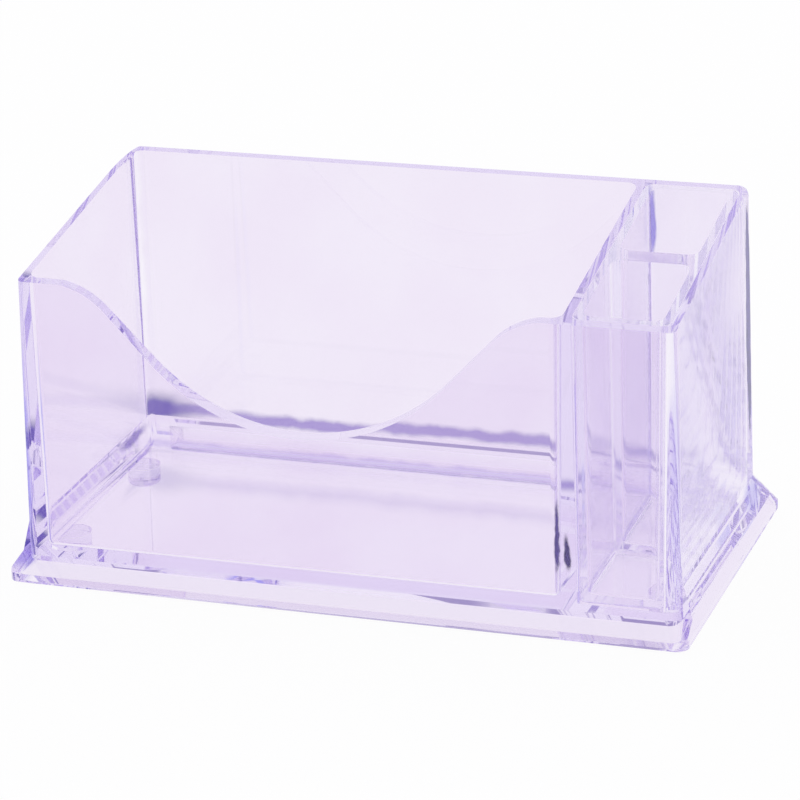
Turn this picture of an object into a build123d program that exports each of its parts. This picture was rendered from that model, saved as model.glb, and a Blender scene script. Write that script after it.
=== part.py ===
# Clear desk stand for business cards, with a two-cell pen cup in a bay at one end.
# X runs along the front, Y from front to back, Z up from the desk. Millimetres.
import math
import os

from build123d import *

os.makedirs("parts", exist_ok=True)

# Moulded box: depth outside at the desk, rim heights and mould draft in degrees
body_depth = 54.6
front_height = 54.0
back_height = 63.6
outer_draft = 1.1
inner_draft = 0.8
body_corner_radius = 2.2
back_corner_radius = 2.0

# Flared plinth under the box: how far it stands out and how high it climbs the walls
front_overhang = 4.0
side_overhang = 2.0
back_overhang = 10.5
toe_height = 3.1
flare_height = 10.4
lip_height = 1.5
rim_gap = 0.4
plinth_corner_radius = 2.2
flare_root_share = 0.2
flare_cove_radius = 1.2

# Floor and wall thickness at the foot of the walls
floor_height = 5.2
floor_thickness = 1.8
side_wall = 3.0
end_wall = 3.5
divider = 2.9

# Card pocket, its width taken at the floor
pocket_width = 93.5
pocket_corner_radius = 1.3
pocket_floor_radius = 1.0

# Swoop cut into the front of the card pocket, a little off its middle, with level shoulders
# and straight flanks, whose angle is in degrees
swoop_shoulder = 2.1
swoop_offset = 1.6
swoop_depth = 24.0
swoop_flank = 46.0
swoop_high_radius = 14.0
swoop_lift = 0.15

# Pen bay, its width taken at the height of the pocket floor, and the cup in it
bay_span = 15.4
bay_floor_thickness = 1.1
bay_corner_radius = 1.0
cup_clearance = 0.15
cup_wall = 1.35
cup_floor = 1.1
cup_cross_wall = 5.0
cup_cross_shift = 1.6
cell_corner_radius = 1.1
cell_floor_radius = 0.8
cup_chamfer = 0.5

# Hollow underside, its skins measured level
hollow_lip = 1.5
hollow_corner_radius = 1.5
hollow_toe = 2.3
hollow_skin = 1.9
core_skin = 2.3
core_end_margin = 6.0

# Feet, placed from the outer faces of the box
foot_radius = 3.0
foot_clearance = 0.1
foot_recess = 0.3
foot_chamfer = 0.4
foot_side_inset = 4.9
foot_end_inset = 11.4

# Hair's breadth left between a seated piece and its seat
seat_gap = 0.05
# Extra length of every cutting solid beyond the face that it cuts
overrun = 5.0
# Distance within which an edge counts as lying at a given height
height_tolerance = 0.05

outer_slope = math.tan(math.radians(outer_draft))
inner_slope = math.tan(math.radians(inner_draft))

# Plan of the plinth, centred on the origin, and of the box standing on it
body_width = pocket_width + divider + bay_span + 2 * (side_wall + outer_slope * floor_height)
base_width = body_width + 2 * side_overhang
base_depth = body_depth + front_overhang + back_overhang
body_y = (front_overhang - back_overhang) / 2
lip_top = rim_gap + lip_height
floor_underside = floor_height - floor_thickness


def half_width(height):
    return body_width / 2 - outer_slope * height


def front_y(height):
    return body_y - body_depth / 2 + outer_slope * height


def back_y(height):
    return body_y + body_depth / 2 - outer_slope * height


# Inside faces of the walls at floor height
inside_left = side_wall - half_width(floor_height)
inside_right = half_width(floor_height) - side_wall
inside_front = front_y(floor_height) + end_wall
inside_back = back_y(floor_height) - end_wall
inside_depth = inside_back - inside_front
inside_y = (inside_front + inside_back) / 2
cavity_height = back_height + overrun - floor_height
pocket_x = inside_left + pocket_width / 2
bay_floor = floor_underside + bay_floor_thickness
cup_bottom = bay_floor + seat_gap
cell_floor = cup_bottom + cup_floor
bay_inset = inner_slope * (floor_height - bay_floor)
bay_x = inside_right - bay_span / 2
bay_width = bay_span - 2 * bay_inset
bay_depth = inside_depth - 2 * bay_inset

# Space above the rim, which climbs in one plane from the front wall to the back wall
rim_front = (front_y(front_height), front_height)
rim_back = (back_y(back_height), back_height)
rim_slope = (back_height - front_height) / (rim_back[0] - rim_front[0])
with BuildPart() as rim_cutter:
    with BuildSketch(Plane.YZ):
        with BuildLine():
            Polyline(
                (rim_front[0] - overrun, front_height - rim_slope * overrun),
                (rim_back[0] + overrun, back_height + rim_slope * overrun),
                (rim_back[0] + overrun, back_height + 2 * overrun),
                (rim_front[0] - overrun, back_height + 2 * overrun),
                close=True,
            )
        make_face()
    extrude(amount=base_width / 2 + overrun, both=True)
    # Rounded upper corners of the back wall
    arc_z = back_height - back_corner_radius
    arc_x = half_width(arc_z) - back_corner_radius
    corner_size = back_corner_radius + overrun
    with BuildSketch(Plane.XZ):
        with Locations((arc_x, arc_z), (-arc_x - corner_size, arc_z)):
            Rectangle(corner_size, corner_size, align=(Align.MIN, Align.MIN))
        with Locations((arc_x, arc_z), (-arc_x, arc_z)):
            Circle(back_corner_radius, mode=Mode.SUBTRACT)
    extrude(amount=base_depth / 2 + overrun, both=True)

# Swoop: a low arc, a straight flank and a high arc on each side of the pocket's middle
swoop_top = front_height + swoop_lift
swoop_bottom = front_height - swoop_depth
swoop_half_width = pocket_width / 2 - swoop_shoulder
flank_angle = math.radians(swoop_flank)
flank_excess = swoop_half_width * math.tan(flank_angle) - (swoop_top - swoop_bottom)
swoop_low_radius = flank_excess / (1 / math.cos(flank_angle) - 1) - swoop_high_radius
swoop_shift = inside_front + overrun - rim_front[0]
swoop_plane = Plane(
    origin=(pocket_x + swoop_offset, rim_front[0] + swoop_shift, rim_slope * swoop_shift),
    x_dir=(1, 0, 0),
    z_dir=(0, -1, 0),
)
with BuildPart() as swoop_cutter:
    with BuildSketch(swoop_plane):
        with BuildLine():
            low = CenterArc((0, swoop_bottom + swoop_low_radius), swoop_low_radius, -90, swoop_flank)
            high = CenterArc(
                (swoop_half_width, swoop_top - swoop_high_radius), swoop_high_radius, 90, swoop_flank
            )
            Line(low @ 1, high @ 1)
            Polyline(
                high @ 0,
                (swoop_half_width, swoop_top + overrun),
                (0, swoop_top + overrun),
                low @ 0,
            )
        make_face()
        mirror(about=Plane.YZ)
    extrude(amount=end_wall + 2 * overrun, dir=(0, -1, -rim_slope))

# Flare of the plinth: its upper outline lies inside the walls of the box
root_reach = 1 + flare_root_share
root_height = lip_top + (flare_height - lip_top) * root_reach
root_front = front_y(toe_height) + body_corner_radius
toe_root_height = toe_height + (toe_height - lip_top) * body_corner_radius / front_overhang
root_half_width = base_width / 2 - (base_width / 2 - half_width(flare_height)) * root_reach
root_back = base_depth / 2 - (base_depth / 2 - back_y(flare_height)) * root_reach
root_depth = root_back + base_depth / 2
joint_radius = body_corner_radius - outer_slope * (flare_height - rim_gap)
root_corner_radius = plinth_corner_radius - (plinth_corner_radius - joint_radius) * root_reach

# Ceiling of the hollow underside and the core of the back flare
climb_share = (floor_underside - lip_top) / (flare_height - lip_top)
ceiling_half_width = (
    base_width / 2 - (base_width / 2 - half_width(flare_height)) * climb_share - hollow_skin
)
flare_back = base_depth / 2 - (base_depth / 2 - back_y(flare_height)) * climb_share
ceiling_front = front_y(floor_underside) + hollow_toe
ceiling_back = flare_back - hollow_skin
hollow_middle = (rim_gap + floor_underside) / 2
core_front = back_y(flare_height)
core_back = flare_back - core_skin
core_slope = (flare_height - lip_top) / (base_depth / 2 - core_front)
core_top = floor_underside + (core_back - core_front) * core_slope

# Places of the feet in plan
foot_x = half_width(0) - foot_side_inset
foot_front = front_y(0) + foot_end_inset
foot_back = back_y(0) - foot_end_inset
foot_places = {
    "front_left": (-foot_x, foot_front),
    "front_right": (foot_x, foot_front),
    "back_left": (-foot_x, foot_back),
    "back_right": (foot_x, foot_back),
}

# Card stand body, one clear moulding
with BuildPart() as holder_body:
    # Lip and flare of the plinth
    with BuildSketch(Plane.XY.offset(rim_gap)):
        RectangleRounded(base_width, base_depth, plinth_corner_radius)
    extrude(amount=lip_height)
    with BuildSketch(Plane.XY.offset(lip_top)):
        RectangleRounded(base_width, base_depth, plinth_corner_radius)
    with BuildSketch(Plane.XY.offset(root_height)):
        with Locations((0, (root_back - base_depth / 2) / 2)):
            RectangleRounded(2 * root_half_width, root_depth, root_corner_radius)
    loft(ruled=True)
    # Low toe along the front instead of the high flare
    with BuildSketch(Plane.YZ):
        with BuildLine():
            Polyline(
                (-base_depth / 2 - overrun, lip_top),
                (-base_depth / 2, lip_top),
                (root_front, toe_root_height),
                (root_front, root_height + overrun),
                (-base_depth / 2 - overrun, root_height + overrun),
                close=True,
            )
        make_face()
    extrude(amount=base_width / 2 + overrun, both=True, mode=Mode.SUBTRACT)
    # Drafted box
    with BuildSketch(Plane.XY.offset(rim_gap)):
        with Locations((0, body_y)):
            RectangleRounded(2 * half_width(rim_gap), back_y(rim_gap) - front_y(rim_gap), body_corner_radius)
    extrude(amount=back_height + overrun - rim_gap, taper=outer_draft)
    # Cove where the flare runs into the walls
    joint_band = (flare_height - height_tolerance, flare_height + height_tolerance)
    fillet(edges().filter_by_position(Axis.Z, *joint_band), flare_cove_radius)
    add(rim_cutter.part, mode=Mode.SUBTRACT)
    # Card pocket
    with BuildSketch(Plane.XY.offset(floor_height)):
        with Locations((pocket_x, inside_y)):
            RectangleRounded(pocket_width, inside_depth, pocket_corner_radius)
    extrude(amount=cavity_height, taper=-inner_draft, mode=Mode.SUBTRACT)
    pocket_floor = faces().sort_by_distance((pocket_x, inside_y, floor_height))[0]
    fillet(pocket_floor.edges(), pocket_floor_radius)
    # Bay for the pen cup
    with BuildSketch(Plane.XY.offset(bay_floor)):
        with Locations((bay_x, inside_y)):
            RectangleRounded(bay_width, bay_depth, bay_corner_radius)
    extrude(amount=cavity_height, taper=-inner_draft, mode=Mode.SUBTRACT)
    add(swoop_cutter.part, mode=Mode.SUBTRACT)
    # Hollow underside
    with BuildSketch(Plane.XY.offset(rim_gap)):
        RectangleRounded(base_width - 2 * hollow_lip, base_depth - 2 * hollow_lip, hollow_corner_radius)
    with BuildSketch(Plane.XY.offset(floor_underside)):
        with Locations((0, (ceiling_front + ceiling_back) / 2)):
            RectangleRounded(2 * ceiling_half_width, ceiling_back - ceiling_front, hollow_corner_radius)
    loft(ruled=True, mode=Mode.SUBTRACT)
    # Cored-out back flare, so that its skin is no thicker than the walls
    with BuildSketch(Plane.YZ):
        with BuildLine():
            Polyline(
                (core_front, hollow_middle),
                (core_front, core_top),
                (core_back, floor_underside),
                (core_back, hollow_middle),
                close=True,
            )
        make_face()
    extrude(amount=half_width(flare_height) - core_end_margin, both=True, mode=Mode.SUBTRACT)
    # Seats of the feet
    with BuildSketch(Plane.XY.offset(floor_underside)):
        with Locations(*foot_places.values()):
            Circle(foot_radius + foot_clearance)
    extrude(amount=foot_recess, mode=Mode.SUBTRACT)

holder_body.part.label = "holder_body"
export_step(holder_body.part, "parts/holder_body.step")

# Pen cup: a drop-in liner with two cells, flush with the rim of the body
cup_width = bay_width - 2 * cup_clearance
cup_depth = bay_depth - 2 * cup_clearance
cell_width = cup_width - 2 * cup_wall
cross_front = inside_y - cup_cross_shift - cup_cross_wall / 2
cell_ends = [
    (inside_y - cup_depth / 2 + cup_wall, cross_front),
    (cross_front + cup_cross_wall, inside_y + cup_depth / 2 - cup_wall),
]
with BuildPart() as pen_cup:
    with BuildSketch(Plane.XY.offset(cup_bottom)):
        with Locations((bay_x, inside_y)):
            RectangleRounded(cup_width, cup_depth, bay_corner_radius)
    extrude(amount=cavity_height, taper=-inner_draft)
    chamfer(faces().sort_by(Axis.Z)[0].edges(), cup_chamfer)
    with BuildSketch(Plane.XY.offset(cell_floor)):
        for cell_front, cell_back in cell_ends:
            with Locations((bay_x, (cell_front + cell_back) / 2)):
                RectangleRounded(cell_width, cell_back - cell_front, cell_corner_radius)
    extrude(amount=cavity_height, taper=-inner_draft, mode=Mode.SUBTRACT)
    for cell_front, cell_back in cell_ends:
        cell_bottom = faces().sort_by_distance((bay_x, (cell_front + cell_back) / 2, cell_floor))[0]
        fillet(cell_bottom.edges(), cell_floor_radius)
    add(rim_cutter.part, mode=Mode.SUBTRACT)

pen_cup.part.label = "pen_cup"
export_step(pen_cup.part, "parts/pen_cup.step")

# Feet, pressed up into their seats under the floor
for place, spot in foot_places.items():
    with BuildPart() as foot:
        with BuildSketch(Plane.XY):
            with Locations(spot):
                Circle(foot_radius)
        extrude(amount=floor_underside + foot_recess - seat_gap)
        chamfer(faces().sort_by(Axis.Z)[0].edges(), foot_chamfer)
    foot.part.label = "foot_" + place
    export_step(foot.part, "parts/foot_" + place + ".step")
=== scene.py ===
# Clear business card stand on a white studio sweep.
from collections import namedtuple

import bpy
from mathutils import Matrix, Vector

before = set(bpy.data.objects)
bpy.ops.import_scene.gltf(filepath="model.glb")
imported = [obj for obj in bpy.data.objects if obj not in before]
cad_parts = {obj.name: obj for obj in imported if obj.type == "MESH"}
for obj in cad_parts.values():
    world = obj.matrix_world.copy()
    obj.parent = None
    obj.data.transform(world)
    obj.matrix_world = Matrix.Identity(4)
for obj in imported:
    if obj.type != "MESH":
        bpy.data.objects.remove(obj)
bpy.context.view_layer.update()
scene = bpy.context.scene
scene.view_settings.view_transform = "Standard"

# Light runs far along the inside of a clear wall before it leaves
LIGHT_BOUNCES = 128
scene.cycles.max_bounces = LIGHT_BOUNCES
scene.cycles.glossy_bounces = LIGHT_BOUNCES
scene.cycles.transmission_bounces = LIGHT_BOUNCES

# Camera fitted to the photograph: place and turn in the part's frame, lens in millimetres
CAMERA_PLACE = Vector((0.19546, -0.56182, 0.24134))
CAMERA_RIGHT = Vector((0.94767, 0.31800, -0.02818))
CAMERA_UP = Vector((-0.08266, 0.32968, 0.94047))
CAMERA_LENS = 162.0
SENSOR_WIDTH = 36.0
NEAR_CLIP = 0.01

# Paper sweep: its shade, the share of its own light that evens out shadows, and its size and place
PAPER_SHADE = (0.952, 0.935, 0.977)
PAPER_WHITE = (1.0, 1.0, 1.0)
PAPER_GLOW_SHARE = 0.96
PAPER_HALF = 3.0
PAPER_DROP = 0.00005

# Studio: white all round, with an unlit part of the room high up in front of the stand
STUDIO_WHITE = (1.0, 1.0, 1.0)
ROOM_SHADE = (0.40, 0.35, 0.58)
ROOM_WAY = Vector((-0.2, -0.55, 0.8)).normalized()
ROOM_EDGES = (0.78, 0.92)

# Noise in the clear materials: repeats per metre, and the noise levels between which it fades
CLOUD_SCALE = 45.0
CLOUD_DETAIL = 3.0
CLOUD_EDGES = (0.35, 0.65)
WEAR_SCALE = 160.0
WEAR_EDGES = (0.45, 0.80)
WANDER_SCALE = 220.0
WANDER_DETAIL = 4.0
WANDER_REACH = 0.0016


def node_box(name):
    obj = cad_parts[name]
    corners = [obj.matrix_world @ Vector(corner) for corner in obj.bound_box]
    low = Vector([min(values) for values in zip(*corners)])
    high = Vector([max(values) for values in zip(*corners)])
    return low, high


# Faces of the moulding, set in from the edges of its plinth, in metres
SIDE_STEP = 0.0025
FRONT_STEP = 0.0048
BACK_STEP = 0.0109
CUP_FLOOR_STEP = 0.0012
WALL_FOOT = 0.0122
body_low, body_high = node_box("holder_body")
cup_low, cup_high = node_box("pen_cup")
left = body_low.x + SIDE_STEP
right = body_high.x - SIDE_STEP
front = body_low.y + FRONT_STEP
back = body_high.y - BACK_STEP
half_height = body_high.z / 2
pocket_middle = (left + cup_low.x) / 2
pocket_floor = cup_low.z + CUP_FLOOR_STEP

# Painted light and shade: an ellipsoid with a soft edge where a paler tint stands in for light and a
# darker tint for shade, painted into the clear plastic's colour
Depth = namedtuple("Depth", "middle half sharpness tint")
CLEAR = (1.0, 1.0, 1.0)
# Half sizes that take in the whole width, depth or height of the stand
ALL_WIDTH = 0.130
ALL_DEPTH = 0.060
ALL_HEIGHT = 0.060

# Painted light: a paler tint that brightens the right wall
RIGHT_WALL = Depth(
    middle=(right, 0.0, half_height), half=(0.0046, 0.050, ALL_HEIGHT),
    sharpness=0.6, tint=(0.990, 0.980, 0.996))
# Painted light: the back-left corner painted clear, paler than the plastic
BACK_LEFT_CORNER = Depth(
    middle=(left + 0.0011, back - 0.0022, half_height), half=(0.0024, 0.0024, ALL_HEIGHT),
    sharpness=0.5, tint=CLEAR)
# Painted shade: a slightly deeper tint along the front toe
FRONT_TOE = Depth(
    middle=(0.0, front - 0.0037, 0.0025), half=(0.140, 0.0060, 0.0040),
    sharpness=0.6, tint=(0.91, 0.86, 0.955))
# Painted shade: a deeper tint on the right flange
RIGHT_FLANGE = Depth(
    middle=(right + 0.0020, 0.0, 0.0035), half=(0.0040, ALL_DEPTH, 0.0075),
    sharpness=0.6, tint=(0.88, 0.82, 0.94))
# Painted highlight: a clear strip under the back wall, below the painted dark band
STRIP_UNDER_BACK_WALL = Depth(
    middle=(pocket_middle, back - 0.0020, 0.0085), half=(ALL_WIDTH, 0.0036, 0.0026),
    sharpness=0.4, tint=CLEAR)
# Painted shade: a violet band standing in for dark refractions along the back wall foot
BACK_WALL_FOOT = Depth(
    middle=(pocket_middle, back, WALL_FOOT), half=(ALL_WIDTH, 0.0014, 0.0019),
    sharpness=0.3, tint=(0.18, 0.12, 0.47))
# Painted shade: a near-black blob at the left end of the back wall foot
BACK_WALL_FOOT_END = Depth(
    middle=(left + 0.0025, back, WALL_FOOT - 0.0004), half=(0.0130, 0.0026, 0.0048),
    sharpness=0.25, tint=(0.02, 0.008, 0.21))
# Painted shade: a violet line along the back of the pocket floor
FLOOR_BACK_LINE = Depth(
    middle=(pocket_middle, back - 0.0034, pocket_floor), half=(ALL_WIDTH, 0.0012, 0.0012),
    sharpness=0.3, tint=(0.58, 0.50, 0.84))
# Painted shade: a dark sliver standing in for a refraction in the left wall
LEFT_WALL_SHADE_SLIVER = Depth(
    middle=(left + 0.0025, 0.0125, 0.0095), half=(0.0020, 0.0085, 0.0014),
    sharpness=0.4, tint=(0.10, 0.06, 0.34))
# Painted shade: a violet line at the pen bay's back-left corner
PEN_BAY_CORNER = Depth(
    middle=(cup_low.x + 0.0003, cup_high.y - 0.0002, 0.0565), half=(0.0014, 0.0014, 0.0090),
    sharpness=0.5, tint=(0.14, 0.11, 0.60))
# Painted shade: a blue-violet line down the left front edge
LEFT_FRONT_EDGE = Depth(
    middle=(left, front, 0.0230), half=(0.0018, 0.0024, 0.0260),
    sharpness=0.4, tint=(0.22, 0.20, 0.88))
# Painted shade: a violet wedge at the foot of the left front edge
LEFT_FRONT_WEDGE = Depth(
    middle=(left - 0.0012, front, 0.0055), half=(0.0034, 0.0045, 0.0075),
    sharpness=0.4, tint=(0.24, 0.17, 0.72))
# Painted shade: a pale violet line down the right front edge
RIGHT_FRONT_EDGE = Depth(
    middle=(right, front, half_height), half=(0.0022, 0.0024, 0.0330),
    sharpness=0.3, tint=(0.66, 0.62, 0.93))
# Painted shade: a violet patch on the right back flare
RIGHT_BACK_FLARE = Depth(
    middle=(right + 0.0012, back - 0.0050, 0.0080), half=(0.0030, 0.0080, 0.0045),
    sharpness=0.3, tint=(0.42, 0.40, 0.86))
# Painted shade: a near-black sliver left of the divider
DIVIDER_LEFT_SHADE_SLIVER = Depth(
    middle=(cup_low.x - 0.0020, front, 0.0165), half=(0.0006, 0.0014, 0.0085),
    sharpness=0.6, tint=(0.02, 0.012, 0.10))
# Painted shade: a near-black sliver right of the divider
DIVIDER_RIGHT_SHADE_SLIVER = Depth(
    middle=(cup_low.x - 0.0003, front, 0.0140), half=(0.0008, 0.0014, 0.0045),
    sharpness=0.6, tint=(0.01, 0.006, 0.05))
# Painted shade: a dark navy line standing in for internal reflection at the right back edge
RIGHT_BACK_EDGE = Depth(
    middle=(right, back - 0.0032, 0.0410), half=(0.0018, 0.0018, 0.0240),
    sharpness=0.85, tint=(0.012, 0.007, 0.11))

# Painted light and shade on the body; later places lie over earlier ones
BODY_PAINTED_LIGHT_SHADE = [
    RIGHT_WALL, BACK_LEFT_CORNER, FRONT_TOE, RIGHT_FLANGE, STRIP_UNDER_BACK_WALL,
    BACK_WALL_FOOT, BACK_WALL_FOOT_END, FLOOR_BACK_LINE, LEFT_WALL_SHADE_SLIVER, PEN_BAY_CORNER,
    LEFT_FRONT_EDGE, LEFT_FRONT_WEDGE, RIGHT_FRONT_EDGE, RIGHT_BACK_FLARE,
    DIVIDER_LEFT_SHADE_SLIVER, DIVIDER_RIGHT_SHADE_SLIVER,
]
# Painted shade shown only to light that enters from outside
OUTER_PAINTED_SHADE = [RIGHT_BACK_EDGE]


def add_node(tree, kind, **settings):
    node = tree.nodes.new(kind)
    for name, value in settings.items():
        setattr(node, name, value)
    return node


def add_noise(tree, place, scale, detail):
    noise = add_node(tree, "ShaderNodeTexNoise")
    noise.inputs["Scale"].default_value = scale
    noise.inputs["Detail"].default_value = detail
    tree.links.new(place, noise.inputs["Vector"])
    return noise


def add_fade(tree, value, start, end):
    fade = add_node(tree, "ShaderNodeMapRange", interpolation_type="SMOOTHSTEP")
    fade.inputs["From Min"].default_value = start
    fade.inputs["From Max"].default_value = end
    tree.links.new(value, fade.inputs["Value"])
    return fade.outputs["Result"]


def vector_step(tree, operation, socket, value):
    step = add_node(tree, "ShaderNodeVectorMath", operation=operation)
    step.inputs[1].default_value = value
    tree.links.new(socket, step.inputs[0])
    return step.outputs[0]


def number_step(tree, operation, first, second):
    step = add_node(tree, "ShaderNodeMath", operation=operation)
    tree.links.new(first, step.inputs[0])
    tree.links.new(second, step.inputs[1])
    return step.outputs[0]


def blend(tree, share, first, second):
    mix = add_node(tree, "ShaderNodeMix", data_type="RGBA")
    colours = [socket for socket in mix.inputs if socket.type == "RGBA"]
    for socket, value in zip(colours, (first, second)):
        if isinstance(value, tuple):
            socket.default_value = (*value, 1.0)
        else:
            tree.links.new(value, socket)
    tree.links.new(share, mix.inputs[0])
    return [socket for socket in mix.outputs if socket.type == "RGBA"][0]


# Paint each place's light or shade tint into the colour, with outlines that wander a little
def paint_light_and_shade(tree, place, colour, painted_places, limit=None):
    wander = add_noise(tree, place, WANDER_SCALE, WANDER_DETAIL)
    offset = vector_step(tree, "SUBTRACT", wander.outputs["Color"], (0.5, 0.5, 0.5))
    moved = add_node(tree, "ShaderNodeVectorMath", operation="MULTIPLY_ADD")
    moved.inputs[1].default_value = (WANDER_REACH, WANDER_REACH, WANDER_REACH)
    tree.links.new(offset, moved.inputs[0])
    tree.links.new(place, moved.inputs[2])
    for painted_place in painted_places:
        away = vector_step(tree, "SUBTRACT", moved.outputs[0], painted_place.middle)
        scaled = vector_step(tree, "DIVIDE", away, painted_place.half)
        reach = add_node(tree, "ShaderNodeVectorMath", operation="LENGTH")
        tree.links.new(scaled, reach.inputs[0])
        share = add_fade(tree, reach.outputs["Value"], 1.0, painted_place.sharpness)
        if limit is not None:
            share = number_step(tree, "MULTIPLY", share, limit)
        colour = blend(tree, share, colour, painted_place.tint)
    return colour


# Share that is 1 where light enters the plastic and 0 where it leaves
def outer_side(tree):
    side = add_node(tree, "ShaderNodeNewGeometry")
    flip = add_node(tree, "ShaderNodeMath", operation="SUBTRACT")
    flip.inputs[0].default_value = 1.0
    tree.links.new(side.outputs["Backfacing"], flip.inputs[1])
    return flip.outputs[0]


# Roughness that rises from polished to the given haze in places
def worn_polish(tree, place, haze):
    wear = add_noise(tree, place, WEAR_SCALE, 2.0)
    polish = add_node(tree, "ShaderNodeMapRange")
    polish.inputs["From Min"].default_value = WEAR_EDGES[0]
    polish.inputs["From Max"].default_value = WEAR_EDGES[1]
    polish.inputs["To Max"].default_value = haze
    tree.links.new(wear.outputs[0], polish.inputs["Value"])
    return polish.outputs["Result"]


# Clear material: faint clouds in the tint, a polish that varies a little, colour in its depth, and
# painted light and shade in given places
def clear_plastic(name, tints, ior, haze, absorption, density, painted_places=(), outer_painted_places=()):
    material = bpy.data.materials.new(name)
    material.use_nodes = True
    tree = material.node_tree
    shader = tree.nodes["Principled BSDF"]
    shader.inputs["IOR"].default_value = ior
    shader.inputs["Transmission Weight"].default_value = 1.0
    place = add_node(tree, "ShaderNodeTexCoord").outputs["Object"]
    cloud = add_noise(tree, place, CLOUD_SCALE, CLOUD_DETAIL)
    colour = blend(tree, add_fade(tree, cloud.outputs[0], *CLOUD_EDGES), *tints)
    if painted_places:
        colour = paint_light_and_shade(tree, place, colour, painted_places)
    if outer_painted_places:
        colour = paint_light_and_shade(tree, place, colour, outer_painted_places, outer_side(tree))
    tree.links.new(colour, shader.inputs["Base Color"])
    tree.links.new(worn_polish(tree, place, haze), shader.inputs["Roughness"])
    volume = add_node(tree, "ShaderNodeVolumeAbsorption")
    volume.inputs["Color"].default_value = (*absorption, 1.0)
    volume.inputs["Density"].default_value = density
    tree.links.new(volume.outputs[0], tree.nodes["Material Output"].inputs["Volume"])
    return material


def body_plastic():
    return clear_plastic(
        "body_plastic", tints=((0.920, 0.868, 0.960), (0.938, 0.900, 0.974)), ior=1.55, haze=0.02,
        absorption=(0.25, 0.0, 0.8), density=3.5, painted_places=BODY_PAINTED_LIGHT_SHADE, outer_painted_places=OUTER_PAINTED_SHADE)


def cup_plastic():
    return clear_plastic(
        "cup_plastic", tints=((0.972, 0.968, 0.988), (0.988, 0.984, 0.996)), ior=1.34, haze=0.02,
        absorption=(0.2, 0.1, 0.8), density=2.0)


def foot_rubber():
    return clear_plastic(
        "foot_rubber", tints=((0.87, 0.84, 0.95), (0.92, 0.90, 0.97)), ior=1.45, haze=0.15,
        absorption=(0.2, 0.1, 0.8), density=4.0)


def make_camera():
    data = bpy.data.cameras.new("camera")
    data.lens = CAMERA_LENS
    data.sensor_width = SENSOR_WIDTH
    data.clip_start = NEAR_CLIP
    camera = bpy.data.objects.new("camera", data)
    turn = Matrix((CAMERA_RIGHT, CAMERA_UP, CAMERA_RIGHT.cross(CAMERA_UP))).transposed()
    camera.matrix_world = Matrix.Translation(CAMERA_PLACE) @ turn.to_4x4()
    scene.collection.objects.link(camera)
    scene.camera = camera


def make_world():
    world = bpy.data.worlds.new("studio")
    scene.world = world
    world.use_nodes = True
    tree = world.node_tree
    way = add_node(tree, "ShaderNodeTexCoord").outputs["Generated"]
    toward = add_node(tree, "ShaderNodeVectorMath", operation="DOT_PRODUCT")
    toward.inputs[1].default_value = ROOM_WAY
    tree.links.new(way, toward.inputs[0])
    share = add_fade(tree, toward.outputs["Value"], *ROOM_EDGES)
    background = tree.nodes["Background"]
    background.inputs["Strength"].default_value = 1.0
    tree.links.new(blend(tree, share, STUDIO_WHITE, ROOM_SHADE), background.inputs["Color"])


# Paper that shows white to the camera and its own shade through the plastic, and keeps the shadow
def paper_material():
    material = bpy.data.materials.new("paper")
    material.use_nodes = True
    tree = material.node_tree
    paper = tree.nodes["Principled BSDF"]
    paper.inputs["Base Color"].default_value = (*PAPER_SHADE, 1.0)
    paper.inputs["Roughness"].default_value = 1.0
    path = add_node(tree, "ShaderNodeLightPath").outputs
    through = number_step(tree, "MAXIMUM", path["Is Glossy Ray"], path["Is Transmission Ray"])
    share = add_node(tree, "ShaderNodeMath", operation="MULTIPLY_ADD")
    share.inputs[1].default_value = PAPER_GLOW_SHARE
    tree.links.new(path["Is Camera Ray"], share.inputs[0])
    tree.links.new(through, share.inputs[2])
    glow = add_node(tree, "ShaderNodeEmission")
    tree.links.new(blend(tree, path["Is Camera Ray"], PAPER_SHADE, PAPER_WHITE), glow.inputs["Color"])
    mix = add_node(tree, "ShaderNodeMixShader")
    tree.links.new(share.outputs[0], mix.inputs["Fac"])
    tree.links.new(paper.outputs[0], mix.inputs[1])
    tree.links.new(glow.outputs[0], mix.inputs[2])
    tree.links.new(mix.outputs[0], tree.nodes["Material Output"].inputs["Surface"])
    return material


def make_floor():
    mesh = bpy.data.meshes.new("floor")
    sides = [(-1, -1), (1, -1), (1, 1), (-1, 1)]
    corners = [(x * PAPER_HALF, y * PAPER_HALF, -PAPER_DROP) for x, y in sides]
    mesh.from_pydata(corners, [], [(0, 1, 2, 3)])
    mesh.materials.append(paper_material())
    floor = bpy.data.objects.new("floor", mesh)
    scene.collection.objects.link(floor)


def dress_nodes():
    body = body_plastic()
    cup = cup_plastic()
    foot = foot_rubber()
    for name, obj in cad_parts.items():
        if name == "holder_body":
            plastic = body
        elif name == "pen_cup":
            plastic = cup
        else:
            plastic = foot
        for slot in obj.material_slots:
            slot.material = plastic


make_camera()
make_world()
make_floor()
dress_nodes()
